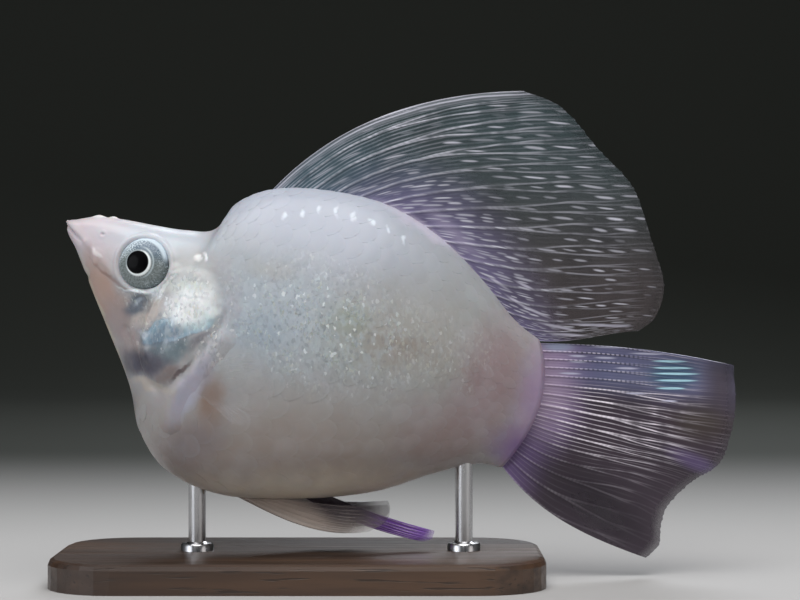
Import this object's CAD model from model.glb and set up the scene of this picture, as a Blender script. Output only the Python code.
# %% [markdown]
# # A balloon molly, life size
# This lesson dresses a plain solid model of a small aquarium fish. The solids already have the right
# size and outline. Here they get a seamless skin, overlapping scales, rayed fins, wet eyes and a stand
# of dark wood. The head points to -X, the left flank faces -Y and the floor is at z = 0.

# %% Load the frame
import math
import random

import bmesh
import bpy
from mathutils import Matrix, Vector
from mathutils.bvhtree import BVHTree


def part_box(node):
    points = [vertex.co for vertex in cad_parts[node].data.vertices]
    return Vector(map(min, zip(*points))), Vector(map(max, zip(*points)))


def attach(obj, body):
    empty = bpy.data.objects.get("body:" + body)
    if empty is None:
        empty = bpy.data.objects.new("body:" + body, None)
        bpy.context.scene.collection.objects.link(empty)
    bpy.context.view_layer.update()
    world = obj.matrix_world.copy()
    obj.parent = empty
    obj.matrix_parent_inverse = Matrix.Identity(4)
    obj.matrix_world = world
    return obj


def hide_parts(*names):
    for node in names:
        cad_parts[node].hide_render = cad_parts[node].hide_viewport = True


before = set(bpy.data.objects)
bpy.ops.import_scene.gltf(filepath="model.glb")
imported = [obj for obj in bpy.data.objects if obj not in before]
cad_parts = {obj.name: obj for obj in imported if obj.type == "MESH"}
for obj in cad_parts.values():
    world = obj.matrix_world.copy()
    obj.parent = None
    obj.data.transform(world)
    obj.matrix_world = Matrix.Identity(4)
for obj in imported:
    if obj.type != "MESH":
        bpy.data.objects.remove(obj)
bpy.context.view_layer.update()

MM = 0.001
BODY = "root"
SIDES = {"left": -1, "right": 1}
print("nodes:", ", ".join(sorted(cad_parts)))

# %% [markdown]
# ## Small helpers
# A fish is all curves, so most shapes here start as a regular ball or grid of points that a rule moves
# to its place. A smooth curve through a few named points gives each rule its numbers. That keeps the
# measured facts few, and lets any of them be changed without touching the mesh code. Finishes are node
# trees, which take many lines to wire by hand, so a value in a tree is wrapped here in a small class
# that lets it be added, multiplied and eased as a number would be.


# %% Smooth curves through a few points
def curve_through(keys, at):
    """The value at `at` of a smooth curve through (key, value) pairs."""
    last = len(keys) - 1
    at = min(max(at, keys[0][0]), keys[last][0])
    i = next((n for n in range(last) if at <= keys[n + 1][0]), last - 1)

    def slope(n):
        low, high = max(n - 1, 0), min(n + 1, last)
        return (keys[high][1] - keys[low][1]) / (keys[high][0] - keys[low][0])

    step = keys[i + 1][0] - keys[i][0]
    t = (at - keys[i][0]) / step
    ease = t * t * (3 - 2 * t)
    start = keys[i][1] * (1 - ease) + keys[i + 1][1] * ease
    return start + (slope(i) * (t * (1 - t) ** 2) - slope(i + 1) * (t * t * (1 - t))) * step


def in_metres(point):
    return Vector(point) * MM


def lengths_so_far(points):
    """How far along a line each of its points lies."""
    reach = [0.0]
    for a, b in zip(points, points[1:]):
        reach.append(reach[-1] + (b - a).length)
    return reach


def by_length(points):
    """Pairs of (share of the length, point in metres) for a line given in mm."""
    corners = [in_metres(p) for p in points]
    reach = lengths_so_far(corners)
    return [(r / reach[-1], corner) for r, corner in zip(reach, corners)]


def along(points, share):
    return curve_through(by_length(points), share)


def smooth_step(low, high, value):
    t = min(max((value - low) / (high - low), 0.0), 1.0)
    return t * t * (3 - 2 * t)


def direction(degrees):
    """A unit vector in the side view, 0 towards the tail and 90 up."""
    return Vector((math.cos(math.radians(degrees)), math.sin(math.radians(degrees))))


def mesh_from(name, bm):
    mesh = bpy.data.meshes.new(name)
    bm.to_mesh(mesh)
    bm.free()
    mesh.shade_smooth()
    return mesh


def add_object(name, data):
    made = bpy.data.objects.new(name, data)
    bpy.context.scene.collection.objects.link(made)
    return made


def object_from(name, bm, look):
    """Turns a bmesh into a named piece that rides on the body. A sheet's free edges are kept crisp."""
    for edge in bm.edges:
        if edge.is_boundary:
            edge.smooth = False
    mesh = mesh_from(name, bm)
    mesh.materials.append(look)
    made = add_object(name, mesh)
    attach(made, BODY)
    print(name, len(mesh.polygons), "faces")
    return made


# %% Short ways to place nodes
class Value:
    """What a socket of a node tree puts out. Sums and products of it become nodes of their own."""

    def __init__(self, tree, socket):
        self.tree, self.socket = tree, socket

    def step(self, kind, inputs, output=0, **settings):
        """Adds a node, feeds its inputs by name or number, and gives what it puts out."""
        made = new_node(self.tree, kind, **settings)
        for key, value in inputs.items():
            feed(made.inputs[key], value)
        return Value(self.tree, made.outputs[output])

    def math(self, operation, *others):
        return self.step("ShaderNodeMath", dict(enumerate((self, *others))), operation=operation)

    def vector_math(self, operation, *others, output=0):
        inputs = dict(enumerate((self, *others)))
        return self.step("ShaderNodeVectorMath", inputs, output, operation=operation)

    def parts(self):
        """Its X, Y and Z, or its red, green and blue."""
        split = new_node(self.tree, "ShaderNodeSeparateXYZ")
        feed(split.inputs[0], self)
        return [Value(self.tree, part) for part in split.outputs]

    def __add__(self, other):
        return self.math("ADD", other)

    def __sub__(self, other):
        return self.math("SUBTRACT", other)

    def __rsub__(self, other):
        return self.step("ShaderNodeMath", {0: other, 1: self}, operation="SUBTRACT")

    def __mul__(self, other):
        return self.math("MULTIPLY", other)

    def __truediv__(self, other):
        return self.math("DIVIDE", other)

    def __abs__(self):
        return self.math("ABSOLUTE")


def new_node(tree, kind, **settings):
    made = tree.nodes.new(kind)
    for key, value in settings.items():
        setattr(made, key, value)
    return made


def feed(target, value):
    """Links a value to a socket, or sets the socket's own number, vector or colour."""
    if isinstance(value, Value):
        value.tree.links.new(value.socket, target)
    elif isinstance(value, tuple) and len(value) == 3 and len(target.default_value) == 4:
        target.default_value = (*value, 1)
    else:
        target.default_value = value


def dress(shader, **sockets):
    for key, value in sockets.items():
        feed(shader.inputs[key.replace("_", " ")], value)


def source(tree, kind, output=0, **settings):
    """What a node without inputs puts out, such as a place, a UV map or an attribute."""
    return Value(tree, new_node(tree, kind, **settings).outputs[output])


def object_place(tree):
    return source(tree, "ShaderNodeTexCoord", "Object")


def larger(value, other):
    return value.math("MAXIMUM", other)


def ease_between(value, low, high, to_low=0.0, to_high=1.0):
    inputs = {"Value": value, "From Min": low, "From Max": high, "To Min": to_low, "To Max": to_high}
    return value.step("ShaderNodeMapRange", inputs, interpolation_type="SMOOTHSTEP")


def blend_colours(share, first, second):
    return share.step("ShaderNodeMix", {0: share, 6: first, 7: second}, 2, data_type="RGBA")


def layered(colour, *layers):
    """Colours laid over each other, each with its own mask."""
    for share, over in layers:
        colour = blend_colours(share, colour, over)
    return colour


def speckle(place, scale, detail=2.0, stretch=None, output="Fac"):
    """Noise of a given fineness, stretched along an axis if asked."""
    if stretch:
        place = place.step("ShaderNodeMapping", {"Vector": place, "Scale": stretch})
    return place.step("ShaderNodeTexNoise", {"Vector": place, "Scale": scale, "Detail": detail}, output)


def raised(height, distance, strength):
    return height.step("ShaderNodeBump", {"Height": height, "Distance": distance, "Strength": strength})


def new_material(name, **sockets):
    """A material, its node tree and its Principled BSDF, some of whose sockets are set here."""
    made = bpy.data.materials.new(name)
    made.use_nodes = True
    shader = made.node_tree.nodes["Principled BSDF"]
    dress(shader, **sockets)
    return made, made.node_tree, shader


# %% [markdown]
# ## Camera, floor and light
# The photo looks straight at the fish's left flank from its own height, so the camera sits level, 100 mm
# lens, far enough away that the picture is 82.5 mm wide at the fish. The floor is pale, and turns dark
# grey where it curves up behind, so that a white fish and its smoky fins both stand out. One broad
# light hangs overhead, as in an aquarium, and weaker ones fill the front and edge the back.

# %% Camera
PICTURE_WIDTH = 800 * 0.1031 * MM
PICTURE_CENTRE = Vector((10.3, 0, 28.8)) * MM
LENS, SENSOR = 100, 36
camera_data = bpy.data.cameras.new("camera")
camera_data.lens = LENS
camera_data.sensor_width = SENSOR
camera_data.clip_start = 0.005
camera = add_object("camera", camera_data)
camera.location = PICTURE_CENTRE + Vector((0, -PICTURE_WIDTH * LENS / SENSOR, 0))
camera.rotation_euler = (math.radians(90), 0, 0)
bpy.context.scene.camera = camera
print("camera stands", round(-camera.location.y / MM), "mm away")

# %% Floor and backdrop, one sheet bent upwards
STAGE_WIDTH, STAGE_FRONT, STAGE_BACK, STAGE_TOP = 4.0, -2.0, 0.42, 1.8
STAGE_BEND, BEND_STEPS = 0.22, 12
floor_mesh = bmesh.new()
places = [(STAGE_FRONT, 0)]
for n in range(BEND_STEPS + 1):
    turn = math.pi / 2 * n / BEND_STEPS
    places.append((STAGE_BACK + STAGE_BEND * math.sin(turn), STAGE_BEND * (1 - math.cos(turn))))
places.append((STAGE_BACK + STAGE_BEND, STAGE_TOP))
profile = [floor_mesh.verts.new((-STAGE_WIDTH / 2, y, z)) for y, z in places]
profile_edges = [floor_mesh.edges.new(pair) for pair in zip(profile, profile[1:])]
swept = bmesh.ops.extrude_edge_only(floor_mesh, edges=profile_edges)["geom"]
bmesh.ops.translate(
    floor_mesh, verts=[v for v in swept if isinstance(v, bmesh.types.BMVert)], vec=(STAGE_WIDTH, 0, 0)
)
bmesh.ops.recalc_face_normals(floor_mesh, faces=floor_mesh.faces)
floor = add_object("floor", mesh_from("floor", floor_mesh))

PALE_PAPER, DARK_PAPER, DARK_FROM = (0.46, 0.455, 0.45), (0.020, 0.023, 0.018), 0.20
paper, paper_tree, paper_shader = new_material("floor paper", Roughness=0.85)
backwards = object_place(paper_tree).parts()[1]
dress(paper_shader, Base_Color=blend_colours(ease_between(backwards, 0.0, DARK_FROM), PALE_PAPER, DARK_PAPER))
floor.data.materials.append(paper)
print("floor", len(floor.data.polygons), "faces")

# %% Lights: name, place, width, watts, colour
LIGHTS = (
    ("overhead", (0.0, -0.15, 0.42), 0.46, 2.05, (1.0, 0.99, 0.98)),
    ("front fill", (-0.44, -0.32, 0.14), 0.34, 0.85, (0.90, 0.94, 1.0)),
    ("right fill", (0.42, -0.34, 0.12), 0.30, 0.20, (1.0, 0.95, 0.92)),
    ("back edge", (0.10, 0.34, 0.30), 0.26, 0.9, (0.92, 0.95, 1.0)),
)
AIM = Vector((8, 0, 24)) * MM
for light_name, place, width, watts, colour in LIGHTS:
    light_data = bpy.data.lights.new(light_name, "AREA")
    light_data.shape = "DISK"
    light_data.size = width
    light_data.energy = watts
    light_data.color = colour
    light = add_object(light_name, light_data)
    light.location = place
    light.rotation_euler = (AIM - light.location).to_track_quat("-Z", "Y").to_euler()
bpy.context.scene.view_settings.view_transform = "Standard"
world = bpy.data.worlds.new("soft room")
world.use_nodes = True
world.node_tree.nodes["Background"].inputs["Color"].default_value = (0.72, 0.75, 0.8, 1)
world.node_tree.nodes["Background"].inputs["Strength"].default_value = 0.08
bpy.context.scene.world = world
print("lights:", len(LIGHTS))

# %% [markdown]
# ## The body's form
# Each row below is a section of the body: where it meets the back and the belly, how wide it is, how
# high its widest level lies, and how full it is above and below that. Sections lean with the steep
# throat at the head and stand upright at the tail. The solids were made from the same sizes, so a skin
# made from them lies exactly on the solids, without their thin cuts.

# %% Sections of the body, in mm
SECTIONS = (
    (-24.0, 36.75, -24.0, 36.45, 1.0, 0.5, 2.0, 2.0),  # snout tip
    (-22.9, 37.1, -23.5, 35.2, 2.0, 0.6, 2.3, 2.2),  # lips
    (-21.0, 37.35, -22.6, 32.9, 2.7, 0.66, 2.5, 2.0),  # corner of the mouth
    (-18.2, 37.1, -21.3, 29.5, 3.7, 0.67, 2.7, 1.8),  # front of the eye
    (-15.0, 36.5, -19.8, 25.8, 4.7, 0.66, 2.7, 1.7),  # back of the eye
    (-11.8, 36.0, -18.3, 22.1, 5.5, 0.62, 2.5, 1.7),  # cheek
    (-8.7, 36.1, -17.4, 19.4, 6.3, 0.56, 2.3, 1.8),  # nape and throat
    (-6.3, 38.9, -16.6, 15.6, 7.2, 0.50, 2.0, 2.1),  # shoulder and breast
    (-2.2, 40.3, -13.8, 11.4, 7.9, 0.45, 1.9, 2.3),  # hump
    (3.6, 40.0, -8.0, 8.8, 8.3, 0.42, 1.8, 2.4),  # front of the belly
    (9.3, 38.5, 0.0, 8.4, 8.0, 0.42, 1.8, 2.4),  # middle of the belly
    (14.4, 35.3, 7.6, 9.1, 6.7, 0.44, 1.8, 2.3),  # rear of the belly
    (18.7, 31.0, 13.6, 10.9, 4.7, 0.48, 1.9, 2.1),  # vent
    (22.0, 26.9, 18.0, 11.9, 2.9, 0.5, 2.0, 2.0),  # tail stalk
    (24.7, 24.7, 20.8, 11.5, 1.3, 0.5, 2.2, 2.2),  # root of the tail fin
)
LAST_SECTION = len(SECTIONS) - 1
SECTION_KEYS = [(n, Vector(row)) for n, row in enumerate(SECTIONS)]
ROOT_BOW, BOW_STARTS = 2.0 * MM, 12.0
SWAY, SWAY_STARTS_X, TAIL_TIP_X = 3.6 * MM, 8 * MM, 45.5 * MM


def sway(x):
    """How far the tail has swung to the right at x."""
    return SWAY * (max(0.0, x - SWAY_STARTS_X) / (TAIL_TIP_X - SWAY_STARTS_X)) ** 2


def section(u):
    row = curve_through(SECTION_KEYS, u)
    back, belly = Vector((row[0], row[1])) * MM, Vector((row[2], row[3])) * MM
    return back, belly, row[4] * MM, row[5], row[6], row[7]


def point_on(ring, u, angle):
    """A point of the body's surface. Angle 0 is the back, 180 degrees the belly, 90 the right flank."""
    back, belly, half_width, widest, round_above, round_below = ring
    middle = belly.lerp(back, widest)
    above = math.cos(angle) >= 0
    power = 2 / (round_above if above else round_below)
    up, out = abs(math.cos(angle)) ** power, abs(math.sin(angle)) ** power
    flat = middle + ((back if above else belly) - middle) * up
    bow = ROOT_BOW * max(0.0, (u - BOW_STARTS) / (LAST_SECTION - BOW_STARTS)) ** 2
    x = flat.x + bow * (1 - up * up)
    return Vector((x, math.copysign(half_width * out, math.sin(angle)) + sway(x), flat.y))


print("body length", round((SECTIONS[-1][0] - SECTIONS[0][0]), 1), "mm")

# %% [markdown]
# ## Lines of the head
# What makes a head out of a cone is a few lines: the mouth with its lips, the nostrils, the rim round the
# eye, the bent edge of the cheek, the gill cover with its free rear edge, and the shoulder bone that
# shows behind it. They could be sculpted by hand. Here each is a named line with a width and a height,
# which pushes the skin out or in along its own normal, so both sides get the same features.

# %% Places in the side view, in mm
MOUTH_TIP, MOUTH_CORNER = (-24.0, 36.6), (-21.75, 34.4)
NOSTRIL = (-19.9, 35.5)
EYE = (-15.8, 32.6)
EYE_RADIUS, EYE_HALF_DEPTH = 2.6 * MM, 1.9 * MM
GILL_COVER_EDGE = (
    (-12.5, 31.6), (-10.5, 32.0), (-8.5, 30.9), (-7.6, 28.4), (-8.6, 25.6), (-10.5, 23.0),
    (-12.4, 21.2), (-14.3, 20.5), (-15.8, 21.7), (-16.0, 24.3), (-15.1, 27.0), (-13.9, 29.5),
)
GILL_COVER_MIDDLE = (-12.3, 26.4)
# Ridges and folds: the line, its half width and its height, all in mm
HEAD_LINES = (
    (((-7.2, 24.8), (-9.4, 22.6), (-11.6, 20.2), (-12.6, 18.2), (-12.8, 16.4)), 0.75, 0.42),  # shoulder bone
    (((-12.3, 31.9), (-14.0, 29.8), (-15.0, 27.2), (-15.3, 24.8), (-14.8, 22.9)), 0.4, 0.22),  # cheek edge
    (((-13.2, 31.2), (-14.7, 29.2), (-15.7, 26.8), (-16.0, 24.6)), 0.35, -0.14),  # groove before it
    (((-14.6, 24.2), (-12.0, 25.2), (-9.0, 26.4)), 0.3, -0.10),  # seam across the gill cover
    (((-20.5, 33.6), (-19.0, 31.7), (-17.1, 30.2), (-14.9, 29.4)), 0.35, 0.12),  # bone under the eye
    (((-21.7, 34.7), (-21.0, 33.7), (-20.8, 32.6)), 0.28, 0.16),  # end of the upper jaw
    (((-21.2, 33.9), (-21.4, 32.4), (-21.9, 31.2)), 0.3, -0.12),  # fold behind the lower jaw
    (((-17.6, 25.8), (-16.6, 23.2), (-15.6, 21.2), (-14.2, 20.0)), 0.35, -0.22),  # throat fold
)
LINE_SAMPLES = 14
SAMPLED_LINES = [
    ([along(line, n / LINE_SAMPLES) for n in range(LINE_SAMPLES + 1)], width * MM, height * MM)
    for line, width, height in HEAD_LINES
]


def distance_to(line, spot):
    """The distance from a spot to a line of short straight pieces in the side view."""
    best = 1.0
    for a, b in zip(line, line[1:]):
        share = min(max((spot - a).dot(b - a) / (b - a).length_squared, 0.0), 1.0)
        best = min(best, (spot - a.lerp(b, share)).length)
    return best


def bump(distance, width):
    """A smooth hump, 1 in the middle and 0 from twice the width on."""
    return 1 - smooth_step(0.0, 2 * width, distance)


# %% The gill cover as a plate with a free rear edge
COVER_COUNT = len(GILL_COVER_EDGE)
COVER_MIDDLE = in_metres(GILL_COVER_MIDDLE)
COVER_KEYS = [(n, in_metres(GILL_COVER_EDGE[n % COVER_COUNT])) for n in range(COVER_COUNT + 2)]
FIRST_TURN = math.atan2(*(reversed(in_metres(GILL_COVER_EDGE[0]) - COVER_MIDDLE)))
EDGE_TURNS = [
    (FIRST_TURN - math.atan2(p.y - COVER_MIDDLE.y, p.x - COVER_MIDDLE.x)) % math.tau
    for _, p in COVER_KEYS[:COVER_COUNT]
] + [math.tau]


def cover_share(spot):
    """How far out a spot lies on the gill cover: 0 in its middle, 1 on its edge. Also the edge's number."""
    spoke = spot - COVER_MIDDLE
    if spoke.length < 0.05 * MM:
        return 0.0, 0.0
    turn = (FIRST_TURN - math.atan2(spoke.y, spoke.x)) % math.tau
    i = next(n for n in range(COVER_COUNT) if turn <= EDGE_TURNS[n + 1])
    number = i + (turn - EDGE_TURNS[i]) / (EDGE_TURNS[i + 1] - EDGE_TURNS[i])
    edge = curve_through(COVER_KEYS, number)
    return spoke.length / (edge - COVER_MIDDLE).length, number


COVER_RISE = 0.42 * MM
SLIT_DEPTH = 0.34 * MM
FREE_EDGE = (1.6, 7.4)  # the edge's numbers between which it lifts off the body
print("gill cover:", COVER_COUNT, "points round its edge")


def cover_height(spot):
    share, number = cover_share(spot)
    if share > 1.5:
        return 0.0
    free = smooth_step(FREE_EDGE[0], FREE_EDGE[0] + 1.4, number)
    free *= 1 - smooth_step(FREE_EDGE[1] - 1.4, FREE_EDGE[1], number)
    dome = math.sqrt(max(0.0, 1 - min(share, 1.0) ** 2)) ** 0.7
    lifted = COVER_RISE * (0.45 + 0.55 * dome) * (1 - smooth_step(0.97, 1.03, share))
    blended = COVER_RISE * dome
    slit = -SLIT_DEPTH * bump(abs(share - 1.07), 0.045)
    return free * (lifted + slit) + (1 - free) * blended


# %% How far the skin stands out or in at a place
MOUTH_WAY = (in_metres(MOUTH_TIP) - in_metres(MOUTH_CORNER)).normalized()
MOUTH_UP = Vector((MOUTH_WAY.y, -MOUTH_WAY.x))
LIP_HEIGHT, LIP_WIDTH, MOUTH_DEPTH = 0.15 * MM, 0.36 * MM, 0.30 * MM
SOCKET_DEPTH, SOCKET_RIM, NOSTRIL_DEPTH, NOSTRIL_RIM = 1.1 * MM, 0.16 * MM, 0.16 * MM, 0.05 * MM
KNOBS = ((-20.7, 0.5, 0.22), (-19.2, 0.34, 0.2))  # x, width and height, in mm
KNOBS_ABOVE, HEAD_ENDS_X = 35 * MM, -4 * MM
# The snout's pointed end and the lower lip under it: place, reach and height, in mm
TIP_FORMS = (((-24.2, 0.0, 36.95), 0.32, 0.64), ((-23.9, 0.0, 36.1), 0.50, -0.44))


def mouth_height(spot):
    """Two lips with the closed mouth as a groove between them."""
    way = spot - in_metres(MOUTH_CORNER)
    ahead, above = way.dot(MOUTH_WAY), way.dot(MOUTH_UP)
    lips = LIP_HEIGHT * smooth_step(-0.5 * MM, 0.6 * MM, ahead) * bump(abs(abs(above) - 0.42 * MM), LIP_WIDTH)
    return lips - MOUTH_DEPTH * smooth_step(0.5 * MM, 2.0 * MM, ahead) * bump(abs(above), 0.12 * MM)


EYE_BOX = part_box("eye_left")
SOCKET = Vector((EYE_BOX[0][0] + EYE_BOX[1][0], EYE_BOX[0][2] + EYE_BOX[1][2])) / 2


def eye_height(spot):
    """The socket, which the eyeball fills, and the pale rim round it."""
    off = (spot - SOCKET).length
    socket = 1 - smooth_step(0.90 * EYE_RADIUS, 1.03 * EYE_RADIUS, off)
    return SOCKET_RIM * bump(abs(off - 1.13 * EYE_RADIUS), 0.17 * MM) - SOCKET_DEPTH * socket


def nostril_height(spot):
    off = (spot - in_metres(NOSTRIL)).length
    return NOSTRIL_RIM * bump(abs(off - 0.3 * MM), 0.12 * MM) - NOSTRIL_DEPTH * bump(off, 0.12 * MM)


def knob_height(point):
    """Two small pale knobs, one behind the other, on top of the snout."""
    if point.z < KNOBS_ABOVE:
        return 0.0
    return MM * sum(
        height * bump(math.hypot(point.x - x * MM, point.y * 0.5), width * MM) for x, width, height in KNOBS
    )


def tip_height(point):
    """The upper lip ends in a point, and the lower lip lies a little behind it."""
    return MM * sum(
        height * bump((point - in_metres(place)).length, reach * MM) for place, reach, height in TIP_FORMS
    )


def feature_height(point):
    """The sum of all the head's features at a point of the body's surface."""
    spot = point.xz
    if spot.x > HEAD_ENDS_X:
        return 0.0
    height = mouth_height(spot) + eye_height(spot) + nostril_height(spot) + cover_height(spot)
    height += knob_height(point) + tip_height(point)
    for line, width, rise in SAMPLED_LINES:
        height += rise * bump(distance_to(line, spot), width)
    return height


print("head lines:", len(HEAD_LINES))

# %% [markdown]
# ## Markings
# Skin and scales carry the same markings, so the markings are one node group that both materials use.
# A marking is a soft oval of colour at a place in the side view. Ovals mixed over each other give the
# fish its pink face, silver gill cover, violet tail root and the rest. They are drawn by position in
# metres, so they meet without a seam wherever one piece ends and the next begins.


# %% Markings: place and radii in mm, turn in degrees, colour, strength, softness of the edge
MARKINGS = (
    ("white of the back", (1.5, 38.0), (17.0, 7.5), -14, (0.49, 0.50, 0.59), 0.9, 0.8),
    ("grey of the belly", (-2.0, 11.5), (24.0, 9.5), 0, (0.35, 0.275, 0.24), 0.95, 0.8),
    ("shade under the shoulder", (-10.5, 14.6), (4.2, 2.8), 20, (0.20, 0.155, 0.165), 0.65, 0.9),
    ("pale keel of the belly", (1.0, 8.7), (18.0, 3.1), 2, (0.78, 0.65, 0.53), 0.95, 0.9),
    ("silver of the mid flank", (-2.5, 27.8), (9.0, 6.0), -20, (0.46, 0.50, 0.56), 0.75, 0.8),
    ("olive of the middle", (5.5, 24.5), (5.0, 4.0), -20, (0.34, 0.35, 0.31), 0.5, 0.8),
    ("beige of the rear flank", (13.0, 24.5), (9.0, 5.5), -25, (0.40, 0.36, 0.32), 0.7, 0.8),
    ("lavender edge of the back", (13.5, 36.0), (6.5, 0.9), -33, (0.66, 0.58, 0.70), 0.75, 0.8),
    ("beige above the flakes", (-2.7, 31.9), (2.8, 1.2), -8, (0.46, 0.43, 0.41), 0.55, 0.9),
    ("blue grey of the front flakes", (-3.8, 25.7), (3.2, 2.4), -20, (0.30, 0.36, 0.43), 0.5, 0.9),
    ("green in the flakes", (5.6, 27.0), (2.0, 2.0), 0, (0.31, 0.33, 0.26), 0.6, 0.9),
    ("brown behind the flakes", (10.2, 24.0), (4.4, 2.2), -12, (0.32, 0.26, 0.22), 0.6, 0.9),
    ("rose of the rear belly", (14.5, 15.5), (5.5, 4.2), 12, (0.37, 0.24, 0.23), 0.6, 0.9),
    ("rose before the tail", (20.0, 20.5), (4.6, 8.0), -15, (0.33, 0.21, 0.22), 0.85, 0.8),
    ("violet of the tail's root", (25.0, 18.0), (3.2, 8.5), -12, (0.36, 0.24, 0.41), 0.85, 0.8),
    ("violet below it", (22.5, 13.2), (3.6, 2.6), -30, (0.18, 0.085, 0.28), 0.75, 0.8),
    ("pink of the snout", (-20.2, 35.4), (6.0, 4.0), 0, (0.72, 0.63, 0.67), 0.9, 0.8),
    ("white of the forehead", (-14.5, 35.2), (6.5, 1.9), -6, (0.60, 0.67, 0.74), 0.75, 0.8),
    ("orange of the jaw", (-20.0, 29.8), (2.0, 4.4), 21, (0.50, 0.33, 0.26), 0.9, 0.6),
    ("brown of the cheek", (-17.9, 26.0), (2.0, 4.0), 24, (0.36, 0.29, 0.28), 0.9, 0.7),
    ("edge of the cheek bone", (-19.1, 31.3), (2.8, 0.22), -37, (0.26, 0.15, 0.12), 0.75, 0.8),
    ("pale end of the jaw", (-20.6, 33.6), (0.80, 0.17), -38, (0.88, 0.82, 0.82), 0.8, 0.9),
    ("yellow rim of the chin", (-20.4, 27.4), (8.6, 0.36), -69, (0.60, 0.54, 0.42), 0.75, 0.7),
    ("pale ring round the eye", (-15.6, 32.6), (3.3, 3.3), 0, (0.72, 0.76, 0.82), 0.55, 0.5),
    ("grey behind the eye", (-10.6, 31.5), (3.2, 1.6), -16, (0.53, 0.55, 0.545), 0.8, 0.8),
    ("silver behind the eye", (-10.9, 30.1), (2.4, 0.95), -8, (0.70, 0.76, 0.72), 0.75, 0.7),
    ("band below the eye", (-15.1, 27.5), (2.5, 0.95), 42, (0.56, 0.50, 0.46), 0.95, 0.6),
    ("blue grey under the eye", (-16.3, 28.35), (1.9, 1.1), 36, (0.10, 0.125, 0.165), 0.9, 0.6),
    ("glint in it", (-16.0, 28.7), (0.7, 0.3), 38, (0.34, 0.38, 0.44), 0.8, 0.7),
    ("silver corner below the eye", (-14.1, 29.75), (1.2, 0.75), 32, (0.66, 0.73, 0.76), 0.7, 0.8),
    ("rim below the eye", (-16.2, 29.75), (1.9, 0.22), -10, (0.88, 0.93, 0.95), 0.9, 0.6),
    ("rim behind the eye", (-13.2, 30.2), (1.8, 0.26), 52, (0.88, 0.93, 0.93), 0.85, 0.6),
    ("teal below the gill cover", (-12.9, 23.7), (3.4, 1.5), 28, (0.13, 0.18, 0.205), 0.95, 0.6),
    ("dark of the throat", (-15.5, 22.3), (3.4, 1.7), -8, (0.060, 0.056, 0.082), 0.95, 0.6),
    ("brown of the throat's side", (-12.9, 21.2), (1.7, 0.8), 35, (0.24, 0.19, 0.18), 0.8, 0.7),
    ("pale rim of the throat", (-14.9, 20.3), (2.6, 0.45), -14, (0.46, 0.41, 0.36), 0.85, 0.6),
    ("dark rim of the gill plate", (-12.3, 25.85), (4.25, 1.45), 17, (0.055, 0.065, 0.085), 0.8, 0.2),
    ("plate of the gill cover", (-11.9, 26.1), (4.25, 1.4), 17, (0.275, 0.42, 0.52), 1.0, 0.14),
    ("cyan of its rear", (-9.9, 26.9), (2.3, 1.2), 22, (0.62, 0.80, 0.82), 0.9, 0.7),
    ("blue grey of its front", (-13.2, 25.3), (2.9, 1.2), 18, (0.20, 0.265, 0.335), 0.8, 0.6),
    ("white of the gill cover", (-10.4, 28.3), (3.1, 1.9), 20, (0.97, 1.0, 1.0), 0.97, 0.6),
    ("fold across it", (-10.5, 28.9), (2.6, 0.16), -4, (0.52, 0.57, 0.60), 0.4, 0.9),
    ("white tip of it", (-8.0, 27.6), (0.9, 0.6), 40, (0.95, 1.0, 1.0), 0.8, 0.7),
    ("pale tip of it", (-15.5, 25.3), (0.6, 0.5), 0, (0.60, 0.66, 0.72), 0.8, 0.6),
    ("shade behind it", (-9.5, 24.8), (1.7, 0.5), 46, (0.15, 0.15, 0.17), 0.75, 0.7),
    ("lavender of the shoulder", (-10.4, 19.9), (1.4, 4.4), -34, (0.42, 0.41, 0.50), 0.9, 0.5),
    ("dark of the gill slit", (-11.6, 21.6), (1.7, 0.26), 47, (0.11, 0.075, 0.08), 0.85, 0.6),
    ("brown behind the shoulder", (-8.6, 18.7), (1.6, 2.9), -12, (0.26, 0.15, 0.10), 0.85, 0.9),
    ("knobs of the snout", (-20.0, 37.6), (1.5, 0.42), 0, (0.92, 0.93, 0.90), 0.8, 0.7),
    ("sense organ behind the eye", (-10.0, 32.8), (0.32, 0.42), -20, (0.97, 0.97, 0.97), 0.8, 0.7),
    ("sense organ by the shoulder", (-9.4, 32.9), (0.2, 0.62), 6, (0.95, 0.95, 0.97), 0.8, 0.7),
)
# Scales along the back that catch the light
BRIGHT_SCALES = (
    (-1.2, 37.4), (0.3, 37.4), (2.1, 37.7), (3.9, 37.8), (5.7, 37.4), (7.3, 36.8), (9.0, 36.0), (10.6, 34.9)
)
# Where the silver flakes in the skin show: place, radii, turn, strength
FLAKE_ZONES = (
    ((2.5, 26.0), (11.0, 6.5), -16, 1.0),
    ((13.0, 24.0), (8.0, 4.5), -20, 0.4),
    ((-12.2, 26.8), (5.0, 3.0), 22, 0.9),
    ((-15.4, 29.5), (3.2, 1.2), 14, 0.7),
    ((-10.8, 30.2), (3.0, 1.6), -10, 0.9),
    ((-8.2, 24.5), (1.6, 3.4), -10, 0.8),
)


# %% The markings as one node group: a colour, and where the skin glitters
def oval_mask(place, centre, radii, turn, strength, softness):
    """1 in the middle of an oval of the side view, 0 outside it."""
    oval = place.step(
        "ShaderNodeMapping",
        {
            "Vector": place,
            "Location": (centre[0] * MM, 0, centre[1] * MM),
            "Rotation": (0, -math.radians(turn), 0),
            "Scale": (radii[0] * MM, 1, radii[1] * MM),
        },
        vector_type="TEXTURE",
    )
    off = oval.vector_math("LENGTH", output="Value")
    return ease_between(off, 1 - softness, 1 + 0.4 * softness, strength, 0.0)


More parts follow.
